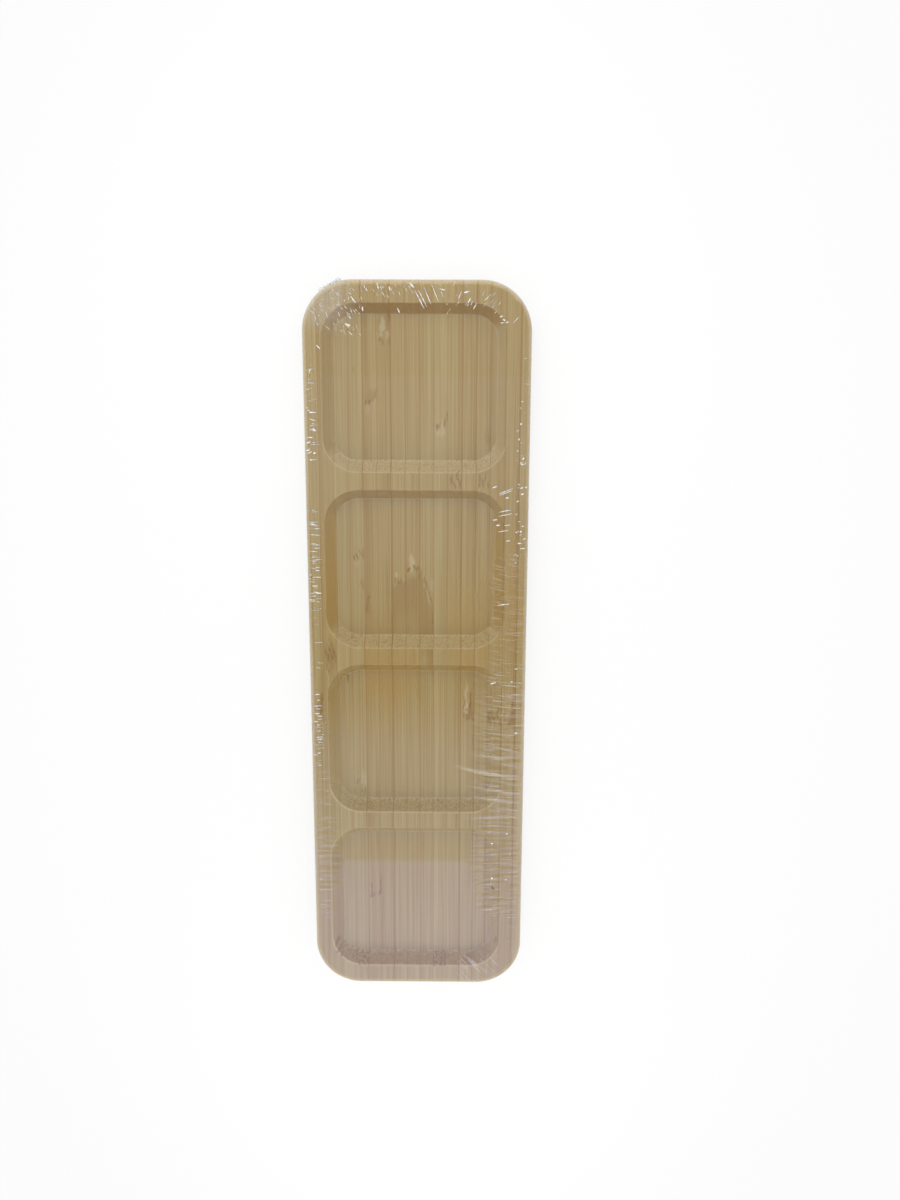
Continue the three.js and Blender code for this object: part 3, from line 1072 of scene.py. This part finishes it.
def hang_ceiling(settings):
    """A glowing card over the platter, which only the film and the bamboo's gloss show."""
    bpy.ops.object.select_all(action="DESELECT")
    bpy.ops.mesh.primitive_plane_add(size=1, location=(0, CEILING_MIDDLE_Y, CEILING_HEIGHT))
    card = bpy.context.object
    card.name = "stage_ceiling"
    card.scale = (CEILING_WIDTH, CEILING_LENGTH, 1)
    bpy.ops.object.transform_apply(location=True, rotation=True, scale=True)
    card.data.materials.append(ceiling_glow(settings.camera_place))
    card.visible_camera = False
    card.visible_diffuse = False
    card.visible_transmission = False
    card.visible_shadow = False


@dataclass
class Lamp:
    """A soft rectangular lamp: its place, what it is aimed at, its size, watts and beam in degrees."""

    name: str
    place: tuple
    target: tuple
    size: tuple
    power: float
    spread: float


LAMPS = (
    Lamp("far_lamp", (-0.05, 0.36, 0.30), (0, 0.14, 0), (0.16, 0.16), 0.052, 70),
    Lamp("near_lamp", (0.02, -0.48, 0.30), (0, -0.16, 0), (0.16, 0.14), 0.050, 60),
)


def add_lamp(lamp):
    light = bpy.data.lights.new(lamp.name, "AREA")
    light.shape = "RECTANGLE"
    light.size, light.size_y = lamp.size
    light.energy = lamp.power
    light.spread = math.radians(lamp.spread)
    holder = bpy.data.objects.new(lamp.name, light)
    bpy.context.scene.collection.objects.link(holder)
    aim = Vector(lamp.target) - Vector(lamp.place)
    holder.location = lamp.place
    holder.rotation_euler = aim.to_track_quat("-Z", "Y").to_euler()
    holder.visible_glossy = False


def light_stage(scene, settings):
    """Even light from all around, and a soft lamp past each end of the platter."""
    world = bpy.data.worlds.new("stage_light")
    world.use_nodes = True
    background = world.node_tree.nodes["Background"]
    background.inputs["Color"].default_value = (1, 1, 1, 1)
    background.inputs["Strength"].default_value = settings.sky
    scene.world = world
    for lamp in LAMPS:
        add_lamp(lamp)


def set_camera(scene, settings):
    """A camera over the platter, a little past its far end, tilted towards its near end."""
    camera = bpy.data.cameras.new("camera")
    camera.lens = settings.lens
    holder = bpy.data.objects.new("camera", camera)
    scene.collection.objects.link(holder)
    turn = (
        Matrix.Rotation(settings.roll, 3, "Z")
        @ Matrix.Rotation(settings.pitch, 3, "X")
        @ Matrix.Rotation(settings.yaw, 3, "Y")
    )
    holder.matrix_world = Matrix.Translation(settings.camera_place) @ turn.transposed().to_4x4()
    scene.camera = holder


class PLATTER_PT_panel(bpy.types.Panel):
    """Sizes, colours and stage of the platter, and the steps that make it"""

    bl_idname = "PLATTER_PT_panel"
    bl_label = "Bamboo Platter"
    bl_space_type = "VIEW_3D"
    bl_region_type = "UI"
    bl_category = "Platter"

    def draw(self, context):
        scene = context.scene
        for settings in (scene.platter_sizes, scene.platter_colours, scene.platter_stage):
            box = self.layout.box()
            for name in settings.__annotations__:
                box.prop(settings, name)
        for step in STEPS:
            self.layout.operator(step.bl_idname)


STEPS = (PLATTER_OT_strips, PLATTER_OT_film, PLATTER_OT_stage)
CLASSES = (PlatterSizes, PlatterColours, PlatterStage, *STEPS, PLATTER_PT_panel)


def register():
    for made in CLASSES:
        bpy.utils.register_class(made)
    bpy.types.Scene.platter_sizes = PointerProperty(type=PlatterSizes)
    bpy.types.Scene.platter_colours = PointerProperty(type=PlatterColours)
    bpy.types.Scene.platter_stage = PointerProperty(type=PlatterStage)


def unregister():
    del bpy.types.Scene.platter_stage
    del bpy.types.Scene.platter_colours
    del bpy.types.Scene.platter_sizes
    for made in reversed(CLASSES):
        bpy.utils.unregister_class(made)


def main():
    register()
    bpy.ops.platter.strips()
    bpy.ops.platter.film()
    bpy.ops.platter.stage()


if __name__ == "__main__":
    main()
